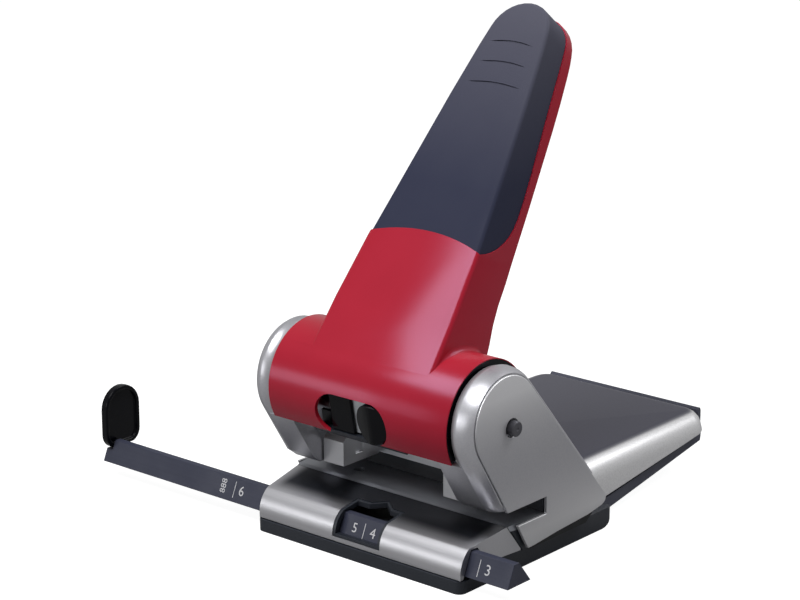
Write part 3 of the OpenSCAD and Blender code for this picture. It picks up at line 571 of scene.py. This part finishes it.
turned_brass, tree, shader = finish_of("turned_brass", "#C6A15A", 0.27, 1.0)
ring_pitch = 0.00105
place_on = add(tree, "ShaderNodeTexCoord").outputs["Object"]
rings = add(tree, "ShaderNodeTexWave", {
    "Vector": place_on, "Scale": math.tau / 20 / ring_pitch, "Distortion": 1.0
})
uneven_gloss(tree, shader, rings.outputs["Fac"], 0.07)
dress(["bush_left", "bush_right"], turned_brass)

ground_steel, tree, shader = finish_of("ground_tool_steel", "#A9ACB1", 0.26, 1.0)
grit_width, grit_length = 0.00067, 0.0167
place_on = add(tree, "ShaderNodeTexCoord").outputs["Object"]
along = add(tree, "ShaderNodeMapping", {
    "Vector": place_on, "Scale": (1 / grit_width, 1 / grit_width, 1 / grit_length)
})
grit = add(tree, "ShaderNodeTexNoise", {"Vector": along.outputs[0], "Scale": 1.0, "Detail": 3.0})
uneven_gloss(tree, shader, grit.outputs["Fac"], 0.08)
dress(["cam_left", "cam_right", "punch_left", "punch_right"], ground_steel)

# ---- Lock
# Slider with a round knob, of the same polished black acetal as the caps. It slides in the carrier behind
# the drum's window, and its bolt holds the lever up or down.

worked("lock_slider", "lock", gloss_black, edge=0.0006, steps=3)

# ---- Return springs
# Drawn spring wire, wound six and a half times with a closed turn at each end, one round each punch.

closed_pitch = 1.9  # rise of a closed turn, in wire radii
coil_steps, wire_sides = 26, 10
spring_tree = bpy.data.node_groups.new("wound_spring", "GeometryNodeTree")
for label, kind in (
    ("Turns", "NodeSocketFloat"), ("Coil radius", "NodeSocketFloat"), ("Wire radius", "NodeSocketFloat"),
    ("Height", "NodeSocketFloat"), ("Place", "NodeSocketVector"), ("Finish", "NodeSocketMaterial"),
):
    spring_tree.interface.new_socket(label, in_out="INPUT", socket_type=kind)
spring_tree.interface.new_socket("Geometry", in_out="OUTPUT", socket_type="NodeSocketGeometry")
given = add(spring_tree, "NodeGroupInput").outputs
end_rise = add(spring_tree, "ShaderNodeMath", {
    0: given["Wire radius"], 1: closed_pitch
}, operation="MULTIPLY").outputs[0]
body_rise = add(spring_tree, "ShaderNodeMath", {
    0: end_rise, 1: -2.0, 2: given["Height"]
}, operation="MULTIPLY_ADD").outputs[0]
top_start = add(spring_tree, "ShaderNodeMath", {
    0: given["Height"], 1: end_rise
}, operation="SUBTRACT").outputs[0]
wire = add(spring_tree, "GeometryNodeCurvePrimitiveCircle", {
    "Resolution": wire_sides, "Radius": given["Wire radius"]
})
joined = add(spring_tree, "GeometryNodeJoinGeometry")
for turns, rise, start in (
    (1.0, end_rise, None), (given["Turns"], body_rise, end_rise), (1.0, end_rise, top_start)
):
    coil = add(spring_tree, "GeometryNodeCurveSpiral", {
        "Resolution": coil_steps, "Rotations": turns, "Height": rise,
        "Start Radius": given["Coil radius"], "End Radius": given["Coil radius"]
    })
    lift = add(spring_tree, "ShaderNodeCombineXYZ", {"Z": start} if start else {})
    lifted = add(spring_tree, "GeometryNodeTransform", {
        "Geometry": coil.outputs[0], "Translation": lift.outputs[0]
    })
    spring_tree.links.new(lifted.outputs[0], joined.inputs[0])
tube = add(spring_tree, "GeometryNodeCurveToMesh", {
    "Curve": joined.outputs[0], "Profile Curve": wire.outputs[0], "Fill Caps": True
})
smooth = add(spring_tree, "GeometryNodeSetShadeSmooth", {"Geometry": tube.outputs[0]})
stood = add(spring_tree, "GeometryNodeTransform", {
    "Geometry": smooth.outputs[0], "Translation": given["Place"]
})
real = add(spring_tree, "GeometryNodeRealizeInstances", {"Geometry": stood.outputs[0]})
coated = add(spring_tree, "GeometryNodeSetMaterial", {
    "Geometry": real.outputs[0], "Material": given["Finish"]
})
add(spring_tree, "NodeGroupOutput", {0: coated.outputs[0]})

spring_wire, tree, shader = finish_of("drawn_spring_wire", "#C4C6CA", 0.26, 1.0)
draw_mark = 0.0011
place_on = add(tree, "ShaderNodeTexCoord").outputs["Object"]
drawn = add(tree, "ShaderNodeTexNoise", {"Vector": place_on, "Scale": 1 / draw_mark, "Detail": 2.0})
uneven_gloss(tree, shader, drawn.outputs["Fac"], 0.08)


def made_by(tree, name, values):
    """A plain mesh object made by a tree, with the tree's inputs set by their names."""
    carrier = put(name, bpy.data.meshes.new(name))
    maker = carrier.modifiers.new("maker", "NODES")
    maker.node_group = tree
    sockets = {item.name: item.identifier for item in tree.interface.items_tree if item.in_out == "INPUT"}
    for label, value in values.items():
        maker[sockets[label]] = value
    made = plain_mesh(carrier)
    carrier.modifiers.clear()
    carrier.data = made
    return carrier


punch_aside, punch_back, spring_seat = 0.040, 0.048, 0.0391
for side, word in sides:
    spring = made_by(spring_tree, "return_spring_" + word, {
        "Turns": 6.5, "Coil radius": 0.0039, "Wire radius": 0.00045, "Height": 0.0222,
        "Place": (side * punch_aside, punch_back, spring_seat), "Finish": spring_wire
    })
    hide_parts("spring_" + word)
    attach(spring, "base")
    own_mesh(spring)

# ---- Paper rail
# Extruded dark grey ABS of triangular section, matt, with faint lines along it from the die, pushed through
# the front cover. A glossy upright stop with a sunk face is pressed on its left end.

rail_abs, tree, shader = finish_of("grey_abs_extrusion", "#313445", 0.5, IOR=1.53, Specular_IOR_Level=0.3)
line_width, line_length = 0.000715, 0.0555
place_on = grained(tree, shader, grain=0.0010, depth=0.00005)
along = add(tree, "ShaderNodeMapping", {
    "Vector": place_on, "Scale": (1 / line_length, 1 / line_width, 1 / line_width)
})
lines = add(tree, "ShaderNodeTexNoise", {"Vector": along.outputs[0], "Scale": 1.0, "Detail": 2.0})
toned(tree, shader, lines.outputs["Fac"], "#383B4C")
worked("rail", "rail", rail_abs, edge=0.0003)
worked("rail_stop", "rail", gloss_black, edge=0.0008, steps=3)

# ---- Scale on the rail
# White pad printing on the rail's leaning front face: plain numbers and strokes, a few hundredths thick.
# The ink lies a little unevenly, so that its white is not quite the same all over.

printed_white, tree, shader = finish_of("white_print", "#CFCFD4", 0.5)
ink_spot = 0.00067
place_on = add(tree, "ShaderNodeTexCoord").outputs["Object"]
thin = add(tree, "ShaderNodeTexNoise", {"Vector": place_on, "Scale": 1 / ink_spot, "Detail": 1.0})
toned(tree, shader, thin.outputs["Fac"], "#E0E0E2")

face_foot = Vector((0, 0.0043, 0.00845))
face_back, face_rise = 0.0051, 0.01165
face_up = Vector((0, face_back, face_rise)).normalized()
face_out = Vector((0, -face_rise, face_back)).normalized()
ink_lift, ink_thick, stroke_width = 0.00001, 0.00002, 0.0004


def printed(name, mesh, x, up, turn=0.0):
    """Lays a flat mesh on the rail's front face, at this place and turned in that face, as print."""
    stand = Matrix((Vector((1, 0, 0)), face_up, face_out)).transposed().to_4x4()
    stand.translation = Vector((x, 0, 0)) + face_foot + face_up * up + face_out * ink_lift
    mesh.transform(stand @ Matrix.Rotation(turn, 4, "Z"))
    mesh.materials.clear()
    mesh.materials.append(printed_white)
    piece = put(name, mesh)
    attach(piece, "rail")


for number, x, up, size, turn in (
    ("888", -0.0985, 0.0070, 0.0052, math.pi / 2),
    ("6", -0.0855, 0.0066, 0.0075, 0.0),
    ("5", -0.0062, 0.0064, 0.0070, 0.0),
    ("4", 0.0058, 0.0062, 0.0075, 0.0),
    ("3", 0.0795, 0.0060, 0.0075, 0.0),
):
    letters = bpy.data.curves.new("scale_number_" + number, "FONT")
    letters.body = number
    letters.size = size
    letters.extrude = ink_thick
    letters.align_x = "CENTER"
    letters.align_y = "CENTER"
    letters.resolution_u = 3
    sign = put("letters", letters)
    mesh = plain_mesh(sign)
    bpy.data.objects.remove(sign)
    printed("scale_number_" + number, mesh, x, up, turn)

for word, x, up, tall in (
    ("left", -0.0905, 0.0066, 0.0085),
    ("middle", 0.0000, 0.0062, 0.0080),
    ("right", 0.0740, 0.0060, 0.0085),
):
    stroke = bmesh.new()
    bmesh.ops.create_cube(stroke, size=1.0, matrix=Matrix.LocRotScale(
        Vector((0, 0, ink_lift)), None, Vector((stroke_width, tall, 2 * ink_thick))
    ))
    mesh = bpy.data.meshes.new("strokes_" + word)
    stroke.to_mesh(mesh)
    stroke.free()
    printed("strokes_" + word, mesh, x, up)
